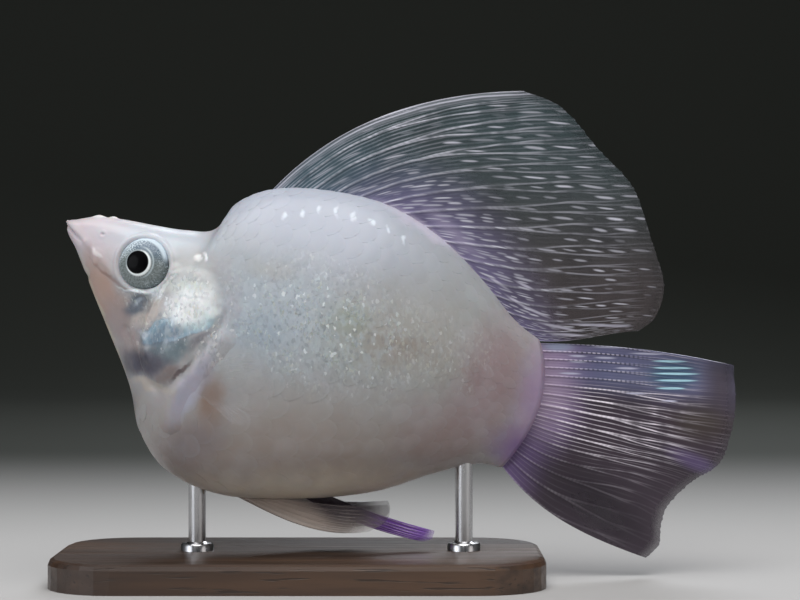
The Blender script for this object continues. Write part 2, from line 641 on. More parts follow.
WOBBLE = 0.9 * MM  # noise moves the ovals about by this much, so that none looks drawn
markings = bpy.data.node_groups.new("molly markings", "ShaderNodeTree")
SOCKETS = (("Place", "INPUT", "Vector"), ("Color", "OUTPUT", "Color"), ("Flake", "OUTPUT", "Float"))
for socket_name, way, kind in SOCKETS:
    markings.interface.new_socket(name=socket_name, in_out=way, socket_type=f"NodeSocket{kind}")
place = source(markings, "NodeGroupInput", "Place")
wandering = speckle(place, 420, 3, output="Color")
wandering = wandering.vector_math("MULTIPLY_ADD", (2 * WOBBLE, 0, 2 * WOBBLE), (-WOBBLE, 0, -WOBBLE))
flat_place = place.vector_math("MULTIPLY_ADD", (1, 0, 1), wandering)
skin_colour = (0.40, 0.395, 0.40)
bright_look = (0.28, 0.5), 8, (0.86, 0.88, 0.96), 0.75, 0.8
bright_marks = [("bright scale", centre, *bright_look) for centre in BRIGHT_SCALES]
for _, centre, radii, turn, colour, strength, softness in (*MARKINGS, *bright_marks):
    mask = oval_mask(flat_place, centre, radii, turn, strength, softness)
    skin_colour = blend_colours(mask, skin_colour, colour)
zone = oval_mask(flat_place, *FLAKE_ZONES[0], 0.8)
for flake_zone in FLAKE_ZONES[1:]:
    zone = larger(zone, oval_mask(flat_place, *flake_zone, 0.8))
cells = speckle(place, 3000, output="Color").vector_math("MULTIPLY_ADD", (0.0004, 0.0004, 0.0004), place)
cells = cells.vector_math("MULTIPLY", (1.0, 0.6, 0.62))
lit, tint, _ = cells.step("ShaderNodeTexVoronoi", {"Vector": cells, "Scale": 4500}, "Color").parts()
flake = zone * ease_between(speckle(place, 520, 3), 0.42, 0.62) * ease_between(lit, 0.60, 0.80)
mottled = ease_between(speckle(place, 1900, 2, (1.0, 1.0, 0.55)), 0.46, 0.62, 0.0, 0.42)
skin_colour = layered(
    skin_colour,
    (zone * ease_between(lit, 0.26, 0.10, 0.0, 0.42), (0.17, 0.19, 0.22)),
    (zone * mottled, (0.53, 0.565, 0.59)),
    (flake * 0.54, blend_colours(ease_between(tint, 0.3, 0.8), (0.82, 0.90, 0.96), (0.86, 0.87, 0.74))),
    (zone * ease_between(lit, 0.967, 0.979, 0.0, 0.6), (1.0, 1.0, 1.0)),
    (ease_between(speckle(place, 300, 4), 0.40, 0.75, 0.0, 0.14), (0.60, 0.58, 0.64)),
)
dress(new_node(markings, "NodeGroupOutput"), Color=skin_colour, Flake=flake)
print("markings:", len(MARKINGS), "and flake zones:", len(FLAKE_ZONES))


# %% Skin and scale finishes
def marked(tree):
    """The markings' colour and flakes at a place of the object."""
    made = new_node(tree, "ShaderNodeGroup", node_tree=markings)
    dress(made, Place=object_place(tree))
    return [Value(tree, socket) for socket in made.outputs]


def make_skin_material():
    """Wet, slimy skin: a little light goes in, and a clear coat lies over it."""
    made, tree, shader = new_material(
        "pearly skin",
        Subsurface_Weight=0.2, Subsurface_Scale=0.0006, IOR=1.4, Coat_Weight=0.22, Coat_Roughness=0.24,
    )
    colour, flake = marked(tree)
    pores, folds = speckle(object_place(tree), 1500, 3), speckle(object_place(tree), 300, 3)
    relief = raised(pores + folds * 2.0 + flake * 0.8, 0.00006, 0.6)
    rough = ease_between(folds, 0.3, 0.7, 0.32, 0.46) - flake * 0.1
    dress(shader, Base_Color=colour, Metallic=flake * 0.5, Roughness=rough, Normal=relief)
    return made


def make_scale_material():
    """A scale is clear horn over silver: rings of growth and a rear edge that is only a little paler."""
    made, tree, shader = new_material(
        "pearly scales",
        Subsurface_Weight=0.12, Subsurface_Scale=0.0004, IOR=1.45, Coat_Weight=0.16, Coat_Roughness=0.26,
    )
    colour, flake = marked(tree)
    on_scale = source(tree, "ShaderNodeAttribute", "Vector", attribute_name="on_scale")
    along_scale, _, chance = on_scale.parts()
    off = on_scale.vector_math("MULTIPLY", (1, 1, 0)).vector_math("LENGTH", output="Value")
    edge = ease_between(off, 0.72, 0.98) * ease_between(along_scale, -0.1, 0.6)
    paler = ease_between(chance, 0.2, 1.0, 0.0, 0.045)
    colour = layered(colour, (edge * 0.03, (0.86, 0.87, 0.95)), (paler, (0.82, 0.86, 0.92)))
    relief = raised((off * 46.0).math("SINE") * 0.03 + flake * 0.9, 0.00004, 0.5)
    rough = ease_between(flake, 0.0, 1.0, 0.40, 0.26)
    dress(shader, Base_Color=colour, Metallic=flake * 0.5, Roughness=rough, Normal=relief)
    return made


skin_material = make_skin_material()
scale_material = make_scale_material()
print("finishes:", skin_material.name, "and", scale_material.name)

# %% [markdown]
# ## Skin
# One skin covers head, jaws, gill covers, trunk and tail stalk, so no seam shows. It starts as a ball
# with many rings. Each ring becomes a section of the body, closer together at the head, where the
# features are small. Then every point moves along its normal by the height of the features there. Where
# scales lie over it, the skin is sunk by the scales' depth, so that they end flush with the solids.

# %% Skin
HEAD_END, HEAD_RINGS, BODY_RINGS, AROUND = 7.0, 150, 56, 208
SCALE_DEPTH = 0.07 * MM
SCALES_START, SCALES_FADE = 6.75, LAST_SECTION - 1.1
RING_PLACES = [HEAD_END * (n / HEAD_RINGS) ** 0.85 for n in range(HEAD_RINGS)]
RING_PLACES += [HEAD_END + (LAST_SECTION - HEAD_END) * n / BODY_RINGS for n in range(BODY_RINGS + 1)]


def sink(u):
    """How far the skin lies under the solids' surface to leave room for the scales."""
    depth = SCALE_DEPTH * smooth_step(SCALES_START - 0.8, SCALES_START - 0.2, u)
    return depth * (1 - smooth_step(SCALES_FADE, LAST_SECTION - 0.1, u))


def unwrap(u, turn):
    """The place of a point of the body on a flat map: round the body, then along it."""
    return (turn, 0.02 + 0.96 * u / LAST_SECTION)


skin_bm = bmesh.new()
bmesh.ops.create_uvsphere(skin_bm, u_segments=AROUND, v_segments=len(RING_PLACES) + 1, radius=1)
ring_sections = [section(u) for u in RING_PLACES]
base_places = {}
for vertex in skin_bm.verts:
    ring = round(math.acos(max(-1.0, min(1.0, vertex.co.z))) / math.pi * (len(RING_PLACES) + 1)) - 1
    turn = math.atan2(vertex.co.y, vertex.co.x)
    at_pole = ring < 0 or ring == len(RING_PLACES)
    ring = min(max(ring, 0), len(RING_PLACES) - 1)
    u, ring_section = RING_PLACES[ring], ring_sections[ring]
    base_places[vertex] = (u, turn)
    if at_pole:
        ends = [point_on(ring_section, u, side * math.pi / 2) for side in (-1, 1)]
        vertex.co = (ends[0] + ends[1]) / 2
    else:
        vertex.co = point_on(ring_section, u, turn)
bmesh.ops.recalc_face_normals(skin_bm, faces=skin_bm.faces)
skin_bm.normal_update()
skin_moves = {v: v.normal * (feature_height(v.co) - sink(base_places[v][0])) for v in skin_bm.verts}
skin_map = skin_bm.loops.layers.uv.new("OFBake")
for face in skin_bm.faces:
    turns = [base_places[loop.vert][1] for loop in face.loops]
    wraps = max(turns) - min(turns) > math.pi
    for loop, turn in zip(face.loops, turns):
        share = (turn + (math.tau if wraps and turn < 0 else 0)) / math.tau + 0.5
        loop[skin_map].uv = unwrap(base_places[loop.vert][0], share)
for vertex, move in skin_moves.items():
    vertex.co += move
body_surface = BVHTree.FromBMesh(skin_bm)
skin = object_from("skin", skin_bm, skin_material)
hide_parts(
    "head", "jaw_upper", "jaw_lower", "gill_cover_left", "gill_cover_right", "trunk", "tail_stalk"
)

# %% [markdown]
# ## Scales
# A molly has round-edged scales in rows like roof tiles, about two dozen from gill to tail. A particle
# system could strew them, but they have to be real mesh in exact rows. So one scale is a small grid
# squeezed to a disc, and every scale is that disc bent onto the body: its front edge is sunk in the
# skin and its rear edge stands out over the next. Each keeps its own spot on the body's flat map.


# %% Even steps round each section
ARC_STEPS = 48
FLANK_GRID = 160


def even_turns(u):
    """Turns from the back to the belly that are evenly spaced on the surface of section u."""
    ring = section(u)
    turns = [math.pi * n / ARC_STEPS for n in range(ARC_STEPS + 1)]
    reach = lengths_so_far([point_on(ring, u, turn) for turn in turns])
    evened, n = [], 0
    for step in range(ARC_STEPS + 1):
        wanted = reach[-1] * step / ARC_STEPS
        while n < ARC_STEPS - 1 and reach[n + 1] < wanted:
            n += 1
        share = (wanted - reach[n]) / (reach[n + 1] - reach[n])
        evened.append(turns[n] + (turns[n + 1] - turns[n]) * min(max(share, 0.0), 1.0))
    return evened


TURN_TABLE = [even_turns(LAST_SECTION * n / FLANK_GRID) for n in range(FLANK_GRID + 1)]


def flank_turn(u, down):
    """The turn at a share of the way down the flank, 0 at the back and 1 at the belly."""
    row = min(max(u / LAST_SECTION * FLANK_GRID, 0), FLANK_GRID - 1e-6)
    column = min(max(down * ARC_STEPS, 0), ARC_STEPS - 1e-6)
    i, j = int(row), int(column)
    near = TURN_TABLE[i][j] + (TURN_TABLE[i][j + 1] - TURN_TABLE[i][j]) * (column - j)
    far = TURN_TABLE[i + 1][j] + (TURN_TABLE[i + 1][j + 1] - TURN_TABLE[i + 1][j]) * (column - j)
    return near + (far - near) * (row - i)


def flank_point(u, down, side):
    return point_on(section(min(max(u, 0), LAST_SECTION)), u, flank_turn(u, down) * side)


def flank_normal(u, down, side):
    step_u, step_down = 0.02, 0.004
    along_body = flank_point(u + step_u, down, side) - flank_point(u - step_u, down, side)
    down_body = flank_point(u, down + step_down, side) - flank_point(u, down - step_down, side)
    return (along_body.cross(down_body) * side).normalized()


# %% Scales
SCALE_ROWS, SCALE_COLUMNS = 17, 25
FIRST_ROW, ROWS_REACH = 0.035, 0.93  # shares of the way from back to belly
SCALE_ALONG, SCALE_ACROSS = 0.92, 0.66  # half sizes, in column and row spacings
SCALE_THICKNESS = 0.022 * MM
FRONT_SINKS, REAR_STANDS, REAR_DIPS = 0.075 * MM, 0.015 * MM, 0.02 * MM
COVER_CLEAR = 1.4  # no scale starts nearer to the gill cover, in shares of its size
BORDER_SINKS, BORDER_END = 0.09 * MM, 8.6  # scales beside the gill cover slip under the skin
TAIL_SINKS = 0.05 * MM
BAKE_PATCH = 0.003
RANDOM = random.Random(7)


def scale_coat(side_name, side):
    """All scales of one flank as one joined mesh."""
    template = bmesh.new()
    bmesh.ops.create_grid(template, x_segments=6, y_segments=6, size=1)
    for vertex in template.verts:
        x, y = vertex.co.x, vertex.co.y
        vertex.co = (x * math.sqrt(1 - y * y / 2), y * math.sqrt(1 - x * x / 2), 0)
    template_mesh = mesh_from("one scale", template)
    coat = bmesh.new()
    bake_map = coat.loops.layers.uv.new("OFBake")
    on_scale = coat.verts.layers.float_vector.new("on_scale")
    step_u = (LAST_SECTION + 0.1 - SCALES_START) / SCALE_COLUMNS
    made = 0
    for column in range(SCALE_COLUMNS):
        for row in range(SCALE_ROWS + 1):
            shift = 0.5 if row % 2 else 0.0
            u_middle = SCALES_START + (column + shift) * step_u
            down_middle = FIRST_ROW + ROWS_REACH * row / SCALE_ROWS
            centre = flank_point(u_middle, down_middle, side)
            if u_middle > LAST_SECTION - 0.12 or cover_share(centre.xz)[0] < COVER_CLEAR:
                continue
            first = len(coat.verts)
            coat.from_mesh(template_mesh)
            coat.verts.ensure_lookup_table()
            size = RANDOM.uniform(0.95, 1.04)
            tilt = RANDOM.uniform(-0.04, 0.04)
            chance = RANDOM.random()
            normal = flank_normal(min(u_middle, LAST_SECTION - 0.05), down_middle, side)
            map_place = unwrap(u_middle, 0.5 + side * flank_turn(u_middle, down_middle) / math.tau)
            for vertex in coat.verts[first:]:
                x, y = vertex.co.x * size, vertex.co.y * size
                vertex[on_scale] = (x, y, chance)
                u = min(u_middle + (x + tilt * y) * SCALE_ALONG * step_u, LAST_SECTION)
                down = down_middle + (y - tilt * x) * SCALE_ACROSS * ROWS_REACH / SCALE_ROWS
                lift = -FRONT_SINKS + (FRONT_SINKS + REAR_STANDS) * smooth_step(-1.0, 0.35, x)
                lift -= REAR_DIPS * (max(0.0, x) ** 3 + y * y)
                turned = down if 0 <= down <= 1 else (-down if down < 0 else 2 - down)
                point_side = side if 0 <= down <= 1 else -side
                on_body = flank_point(u, turned, point_side)
                if u_middle < BORDER_END:
                    share = cover_share(on_body.xz)[0]
                    lift -= BORDER_SINKS * (1 - smooth_step(COVER_CLEAR - 0.05, COVER_CLEAR + 0.5, share))
                lift -= TAIL_SINKS * smooth_step(SCALES_FADE, LAST_SECTION, u)
                vertex.co = on_body + normal * lift
                for loop in vertex.link_loops:
                    loop[bake_map].uv = (map_place[0] + x * BAKE_PATCH / 2, map_place[1] + y * BAKE_PATCH / 2)
            made += 1
    bmesh.ops.recalc_face_normals(coat, faces=coat.faces)
    coat.normal_update()
    coat.faces.ensure_lookup_table()
    if coat.faces[0].normal.y * side < 0:
        bmesh.ops.reverse_faces(coat, faces=coat.faces)
    piece = object_from(f"scales_{side_name}", coat, scale_material)
    thick = piece.modifiers.new("thickness", "SOLIDIFY")
    thick.thickness = SCALE_THICKNESS
    thick.offset = -1
    print(side_name, "flank:", made, "scales")


for side_name, side in SIDES.items():
    scale_coat(side_name, side)

# %% [markdown]
# ## Eyes
# A fish's eye has no lids. It is a flattened ball in a socket, with a black pupil, a thin silver ring, a
# dark speckled iris and a bright crescent above. Separate rings could model these, but they lie under
# one smooth cornea, so the ball stays one mesh. A flat map of the ball, seen from in front of the
# pupil, carries the pattern, and a strong clear coat makes the cornea.


# %% Eye finish
def make_eye_material():
    """From the middle out: the pupil, a silver ring, a second thin ring, the iris and the pale crescent."""
    made, tree, shader = new_material(
        "wet eye", Roughness=0.35, IOR=1.2, Specular_IOR_Level=0.25, Coat_Roughness=0.06
    )
    uv = source(tree, "ShaderNodeUVMap", uv_map="iris")
    centred = uv.vector_math("SUBTRACT", (0.47, 0.5, 0))
    x, y, _ = centred.parts()
    ring = centred.vector_math("LENGTH", output="Value") * 2.0
    spokes = y.step("ShaderNodeCombineXYZ", {0: y.math("ARCTAN2", x) * 3.0, 1: ring * 2.0})
    streaks, specks = speckle(spokes, 4.0, 4), speckle(uv, 42, 3)
    upward, corner = ease_between(x * 0.32 + y, 0.0, 0.38), x * -0.7 + y
    patchy = ease_between(speckle(uv, 5.5, 2), 0.46, 0.60, 0.12, 1.0)
    sparkle = ease_between(speckle(uv, 60, 2), 0.54, 0.62) * ease_between(ring, 0.60, 0.85) * patchy
    glints = ease_between(speckle(uv, 34, 2), 0.50, 0.58) * ease_between(corner, 0.22, 0.38, 0.0, 0.8)
    crescent = ease_between(upward, 0.3, 0.9) * ease_between(ring + x * -0.13, 0.80, 0.88)
    second_ring = ease_between(abs(ring - 0.60), 0.01, 0.045, 0.7, 0.0) * ease_between(x, 0.02, 0.22)
    iris = layered(
        blend_colours(ease_between(streaks, 0.35, 0.65), (0.17, 0.205, 0.20), (0.27, 0.31, 0.31)),
        (upward, (0.14, 0.20, 0.265)),
        (ease_between(specks, 0.55, 0.62, 0.0, 0.28), (0.04, 0.05, 0.07)),
        (ease_between(specks, 0.42, 0.34, 0.0, 0.2), (0.50, 0.56, 0.62)),
        (sparkle * 0.75, (0.80, 0.90, 0.95)),
        (ease_between(corner, 0.28, 0.46, 0.0, 0.6), (0.52, 0.60, 0.66)),
        (glints, (0.80, 0.90, 0.96)),
        (crescent * 0.95, (0.74, 0.86, 0.94)),
        (second_ring, (0.55, 0.64, 0.68)),
    )
    inner = ring - (x * 0.10 + y * -0.08)  # the silver ring is wider behind the pupil and below it
    shine = ease_between(streaks * 0.3 + (x - y), -0.12, 0.22, 0.25, 1.0)
    silver = blend_colours(shine, (0.20, 0.26, 0.30), (0.92, 0.97, 0.97))
    silver = blend_colours(ease_between(inner, 0.46, 0.525), silver, iris)
    colour = blend_colours(ease_between(ring, 0.415, 0.445), (0.001, 0.001, 0.0015), silver)
    coat = ease_between(ring, 0.40, 0.60, 0.05, 0.6)
    dress(shader, Base_Color=colour, Normal=raised(streaks, 0.00005, 0.4), Coat_Weight=coat)
    return made


eye_material = make_eye_material()


# %% Eyes
def make_eye(side_name, side):
    """A ball flattened along the way it looks, set where the solid eye is."""
    lowest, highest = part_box(f"eye_{side_name}")
    centre = (Vector(lowest) + Vector(highest)) / 2
    u, down = nearest_section(EYE)
    facing = flank_normal(u, down, side)
    eye = bmesh.new()
    bmesh.ops.create_uvsphere(eye, u_segments=64, v_segments=40, radius=1)
    iris_map = eye.loops.layers.uv.new("iris")
    for face in eye.faces:
        for loop in face.loops:
            loop[iris_map].uv = (0.5 - side * loop.vert.co.x / 2, 0.5 + loop.vert.co.y / 2)
    across = Vector((0, 0, 1)).cross(facing).normalized()
    upright = facing.cross(across).normalized()
    turn = Matrix((across, upright, facing)).transposed()
    bmesh.ops.scale(eye, verts=eye.verts, vec=(1.05 * EYE_RADIUS, 1.05 * EYE_RADIUS, EYE_HALF_DEPTH))
    bmesh.ops.rotate(eye, verts=eye.verts, matrix=turn)
    bmesh.ops.translate(eye, verts=eye.verts, vec=centre)
    ball = object_from(f"eyeball_{side_name}", eye, eye_material)
    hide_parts(f"eye_{side_name}")


def nearest_section(spot):
    """The section and the share down the flank where a place of the side view lies."""
    wanted = in_metres(spot)
    return min(
        ((u / 20, down / 40) for u in range(0, LAST_SECTION * 20) for down in range(2, 39)),
        key=lambda place: (flank_point(*place, 1).xz - wanted).length,
    )


for side_name, side in SIDES.items():
    make_eye(side_name, side)

# %% [markdown]
# ## Fins
# A fin is a clear skin stretched over bony rays, which fork towards the rim and are jointed like beads.
# Modelled ray by ray it would be hundreds of tubes. It is easier as one fine grid, whose thickness is a
# rule: thin between rays, thicker on them, with each ray forking twice. Solidify reads that rule from a
# vertex group. The finish draws the same rays again as fine pale lines, from the fin's own flat map.


# %% One fin
MEMBRANE, THICKEST = 0.07 * MM, 0.6 * MM  # half thicknesses
FORKS = ((0.30, 0.24), (0.62, 0.11))  # where each ray forks, and how far apart its branches end
FORK_REACH = 0.45  # how much further out they are fully apart
RAY_BEND, RAY_TAPER = 0.36, 0.62  # how far a ray keeps its first direction, and how much thinner it ends
GAP = 0.3 * MM


def ray_mask(ray_place, out):
    """How much of a ray lies at a place: 1 on the middle of a branch, 0 between branches."""
    off = abs(ray_place - round(ray_place))
    width = 0.13 - 0.04 * out
    for start, spread in FORKS:
        off = abs(off - spread * smooth_step(start, min(1.0, start + FORK_REACH), out))
    return 1 - smooth_step(0.35 * width, width, off)


def bent_ray(root, tip, root_angles, tip_angles, across, out):
    """A point of a ray that leaves its root at one angle and reaches its tip at another."""
    handle = (tip - root).length * RAY_BEND
    first = root + direction(curve_through(root_angles, across)) * handle
    second = tip - direction(curve_through(tip_angles, across)) * handle
    rest = 1 - out
    return root * rest**3 + first * 3 * rest**2 * out + second * 3 * rest * out**2 + tip * out**3


def make_fin(name, node, rays, rows, place, look, ray_half, ragged=0.004, fine=18):
    """place(across, out) is the fin's middle. Its rim is a little ragged, most of all between the rays."""
    columns = fine * (rays - 1)
    fin = bmesh.new()
    bmesh.ops.create_grid(fin, x_segments=columns, y_segments=rows, size=1)
    fin_map = fin.loops.layers.uv.new("fin")
    fray = random.Random(rays * 31)
    tatter = [fray.uniform(0.0, 1.0) for _ in range(4 * rays + 3)]
    halves = []
    shares = {}
    for vertex in fin.verts:
        across, out = (vertex.co.x + 1) / 2, (vertex.co.y + 1) / 2
        shares[vertex] = (across, out)
        ray_place = across * (rays - 1)
        mask = ray_mask(ray_place, out)
        cell = ray_place * 4
        notch = tatter[int(cell)] * (1 - abs(2 * (cell % 1) - 1)) * ragged * 1.4 + (1 - mask) * ragged
        vertex.co = place(across, out * (1 - notch * smooth_step(0.6, 1.0, out)))
        ridge = ray_half * (1 - RAY_TAPER * out)
        edge = 1 - smooth_step(0.94, 1.0, out) * 0.5
        halves.append((MEMBRANE + max(0.0, ridge - MEMBRANE) * mask * edge) / THICKEST)
    for face in fin.faces:
        for loop in face.loops:
            loop[fin_map].uv = shares[loop.vert]
    piece = object_from(name, fin, look)
    group = piece.vertex_groups.new(name="thickness")
    for number, half in enumerate(halves):
        group.add([number], half, "REPLACE")
    thick = piece.modifiers.new("thickness", "SOLIDIFY")
    thick.thickness = 2 * THICKEST
    thick.offset = 0
    thick.vertex_group = group.name
    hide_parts(node)


# %% Fin patterns: fine forking lines, and dashes in the lanes between them
def ray_lines(cell, out, width):
    """The same forking rays as in the mesh, drawn as fine lines."""
    off = cell.math("PINGPONG", 0.5)
    for start, spread in FORKS:
        off = abs(off - ease_between(out, start, min(1.0, start + FORK_REACH), 0.0, spread))
    return ease_between(off / width, 0.3, 1.0, 1.0, 0.0)


def dash_lanes(cell, out, lanes, rows, fewest, wide=1.0):
    """Slanting dashes, one behind the other in each lane. Higher `fewest` leaves out more of them."""
    lane = cell * lanes + 0.5
    number = lane.math("FLOOR")
    shift = number.step("ShaderNodeTexWhiteNoise", {"W": number}, noise_dimensions="1D")
    run = out * rows + shift * 7.0
    key = number.step("ShaderNodeCombineXYZ", {0: number, 1: run.math("FLOOR")})
    chance, chances = (
        key.step("ShaderNodeTexWhiteNoise", {"Vector": key}, output, noise_dimensions="2D")
        for output in ("Value", "Color")
    )
    length, light, width = chances.parts()
    ahead = run.math("FRACT") - 0.5
    aside = abs(ahead * -0.3 + (lane.math("FRACT") - 0.5))
    toward_end = abs(ahead) / (length * 0.34 + 0.14)
    long = ease_between(toward_end, 0.5, 1.15, 1.0, 0.0)
    slim = ease_between(
        toward_end * toward_end * 0.08 + aside, 0.02, width * (0.10 * wide) + 0.12 * wide, 1.0, 0.0
    )
    return long * slim * (ease_between(chance, fewest, fewest + 0.3) * (light * 0.6 + 0.4))


# %% Fin finish, shared by all the fins with colours of their own
def across_fin(across, zones, front, middle, rear):
    """A value that changes from a fin's first ray over its middle to its last."""
    first = ease_between(across, zones[0], zones[1], front, middle)
    return ease_between(across, zones[2], zones[3]) * (rear - first) + first


def make_fin_material(
    name, rays, root, front, rear, pale, clear, lines,
    hairs=4, hair_light=(0.6, 0.6, 0.6), hair_width=0.30, beads=(0.2, 0.2, 0.2), dark_beads=0.0,
    dashes=0.0, streaks=0.0, patches=(), front_root=None, root_band=None, edge=0.0, at_root=0.95,
    root_reach=0.5, fades=(0.6, 1.0, 0.25), thins=(0.93, 0.6), turns=(0.05, 0.75),
    zones=(0.06, 0.34, 0.55, 0.85),
):
    """A smoky membrane with fine pale rays. Three numbers are for the front, middle and rear rays."""
    made, tree, shader = new_material(name, Roughness=0.42, IOR=1.36, Coat_Weight=0.25, Coat_Roughness=0.2)
    place = object_place(tree)
    across, out, _ = source(tree, "ShaderNodeUVMap", uv_map="fin").parts()
    across = speckle(place, 150, 2) * 0.016 + (across - 0.008)
    cell = across * (rays - 1)
    smoke = speckle(place, 190, 4)
    colour = layered(
        blend_colours(ease_between(across, *turns), front, rear),
        (
            ease_between(out, 0.02, root_reach, 0.95, 0.0),
            blend_colours(ease_between(across, 0.10, 0.42), front_root or root, root),
        ),
        (ease_between(smoke, 0.42, 0.72, 0.0, 0.4), (0.03, 0.03, 0.035)),
    )
    # The rays are jointed like beads, with gaps between
    gaps = ease_between((out * 260.0).math("SINE"), -0.7, 0.3, 1.0, 0.0)
    gaps = gaps * across_fin(across, zones, *beads) * ease_between(out, 0.40, 0.62, 1.0, 0.1)
    if dark_beads:
        bead = ray_lines(cell, out, 0.16) * gaps * dark_beads
        bead = bead * ease_between(out, 0.08, 0.22) * ease_between(out, 0.5, 0.66, 1.0, 0.0)
        colour = layered(colour, (bead, (0.006, 0.006, 0.012)))
    strength = ease_between(speckle(place, 420, 3), 0.34, 0.60, 0.3, 1.0) * across_fin(across, zones, *lines)
    strength = strength * ease_between(out, fades[0], fades[1], 1.0, fades[2])
    line = ray_lines(cell, out, ease_between(out, 0.0, 0.8, 0.10, 0.05)) * (1.0 - gaps) * strength
    hair = ease_between((cell * hairs).math("PINGPONG", 0.5), 0.2 * hair_width, hair_width, 1.0, 0.0)
    hair = hair * strength * across_fin(across, zones, *hair_light) * ease_between(out, 0.0, 0.6, 1.0, 0.4)
    bright = larger(line, hair)
    if edge:
        band = ease_between((cell * 4.0).math("PINGPONG", 0.5), 0.10, 0.34, edge, 0.25 * edge)
        bright = larger(bright, band * ease_between(cell, 0.3, 0.6, 1.0, 0.0))
    if dashes:
        bright = larger(bright, dash_lanes(cell, out, 2, 9, 0.15) * dashes)
    if streaks:
        streak = dash_lanes(cell, out, 3, 11, 0.0, 1.6) * streaks
        streak = streak * ease_between(out, 0.20, 0.48, 1.0, 0.0) * ease_between(across, 0.12, 0.28)
        bright = larger(bright, streak)
    colour, solid = layered(colour, (bright, pale)), bright
    if root_band:
        band = ease_between(out, 0.025, 0.06, 0.85, 0.0) * ease_between(across, 0.2, 0.5)
        colour = layered(colour, (band, root_band))
    flat_place = place.vector_math("MULTIPLY", (1, 0, 1))
    for *oval, patch_colour in patches:
        patch = oval_mask(flat_place, *oval)
        colour = layered(colour, (patch, patch_colour))
        solid = larger(solid, patch * 0.8)
    veil = ease_between(smoke, 0.3, 0.7, clear - 0.06, clear + 0.06)
    veil = larger(veil, ease_between(out, 0.0, 0.22, at_root, 0.0))
    alpha = larger(veil, solid * 0.95) * ease_between(out, thins[0], 1.0, 1.0, thins[1])
    relief = raised(speckle(place, 700, 1) + bright, 0.00004, 0.5)
    dress(shader, Base_Color=colour, Alpha=alpha, Normal=relief)
    return made


# %% Colours of each fin
DORSAL_RAYS, TAIL_RAYS, PECTORAL_RAYS, PELVIC_RAYS, ANAL_RAYS = 16, 15, 9, 6, 4
BLUE_BARS = ((38.4, 22.4, 1.9), (38.75, 21.7, 2.2), (39.1, 21.1, 2.6), (39.1, 20.4, 2.3), (38.5, 19.6, 1.6))
WHITE_STREAKS = (
    (32.2, 23.9, 2.0), (28.7, 23.0, 1.0), (28.7, 22.4, 1.0), (36.1, 23.2, 2.0), (30.5, 24.6, 2.6),
    (33.9, 21.7, 1.3), (34.8, 19.1, 1.2), (38.3, 18.3, 0.9), (31.6, 22.8, 1.2), (27.9, 21.2, 1.2),
)
DORSAL_STREAKS = (
    (27.7, 25.2, 2.3, -4), (30.6, 26.2, 3.4, -2), (32.9, 26.1, 1.5, 0), (26.8, 26.0, 2.4, -12),
    (24.3, 27.6, 1.7, -24), (22.4, 28.6, 1.5, -32), (20.4, 30.6, 1.5, -34), (23.2, 30.3, 1.2, -26),
)
TAIL_PATCHES = [
    ((24.6, 19.9), (4.0, 5.4), 6, 0.85, 1.0, (0.56, 0.44, 0.60)),
    ((36.0, 21.0), (9.0, 2.2), -3, 0.4, 0.8, (0.15, 0.17, 0.30)),
    ((26.6, 24.0), (1.9, 0.6), -2, 0.7, 0.7, (0.36, 0.44, 0.58)),
    ((41.0, 11.9), (3.4, 1.0), -25, 0.5, 0.8, (0.20, 0.14, 0.34)),
    ((44.0, 20.0), (2.6, 3.8), -6, 0.85, 0.9, (0.060, 0.045, 0.055)),
    ((30.8, 7.4), (8.5, 3.6), -36, 0.85, 0.9, (0.018, 0.012, 0.020)),
    ((41.5, 16.0), (3.6, 2.4), -10, 0.5, 0.9, (0.078, 0.064, 0.040)),
    ((38.8, 21.0), (3.0, 1.8), 0, 0.8, 0.6, (0.04, 0.10, 0.17)),
]
TAIL_PATCHES += [((x, z), (half, 0.13), -1, 0.95, 0.4, (0.50, 0.82, 0.94)) for x, z, half in BLUE_BARS]
TAIL_PATCHES += [((x, z), (half, 0.12), -2, 0.8, 0.6, (0.66, 0.66, 0.84)) for x, z, half in WHITE_STREAKS]
dorsal_material = make_fin_material(
    "dorsal fin", DORSAL_RAYS, root=(0.23, 0.20, 0.37), front_root=(0.07, 0.12, 0.16),
    root_band=(0.58, 0.53, 0.68), front=(0.066, 0.102, 0.110), rear=(0.082, 0.067, 0.068),
    pale=(0.76, 0.76, 0.86), clear=0.74,
    lines=(1.0, 0.40, 0.38), dashes=0.95, streaks=1.0, hairs=5, hair_light=(0.75, 0.2, 0.05), edge=0.95,
    thins=(0.9, 0.55),
    patches=[
        ((2.5, 42.5), (5.0, 3.5), 30, 0.4, 0.8, (0.10, 0.17, 0.20)),
        ((15.9, 35.6), (4.4, 0.9), -43, 0.5, 0.9, (0.52, 0.47, 0.64)),
    ]
    + [((x, z), (half, 0.16), turn, 0.8, 0.7, (0.64, 0.62, 0.74)) for x, z, half, turn in DORSAL_STREAKS],
)
tail_material = make_fin_material(
    "tail fin", TAIL_RAYS, root=(0.20, 0.13, 0.31), front_root=(0.30, 0.21, 0.39), root_reach=0.32,
    front=(0.15, 0.15, 0.27), rear=(0.060, 0.041, 0.060), pale=(0.98, 0.90, 1.0), clear=0.90,
    lines=(0.6, 1.0, 0.25), beads=(0.85, 0.15, 0.3), dark_beads=0.9, hairs=3, hair_light=(0.22, 0.95, 0.40),
    hair_width=0.17, fades=(0.62, 0.9, 0.12), turns=(0.24, 0.44), zones=(0.26, 0.42, 0.62, 0.80),
    patches=TAIL_PATCHES,
)
clear_fin_material = make_fin_material(
    "clear side fin", PECTORAL_RAYS, root=(0.50, 0.44, 0.42), front=(0.5, 0.48, 0.5), rear=(0.5, 0.48, 0.5),
    pale=(0.72, 0.70, 0.74), clear=0.06, lines=(0.2, 0.12, 0.2), at_root=0.12,
)
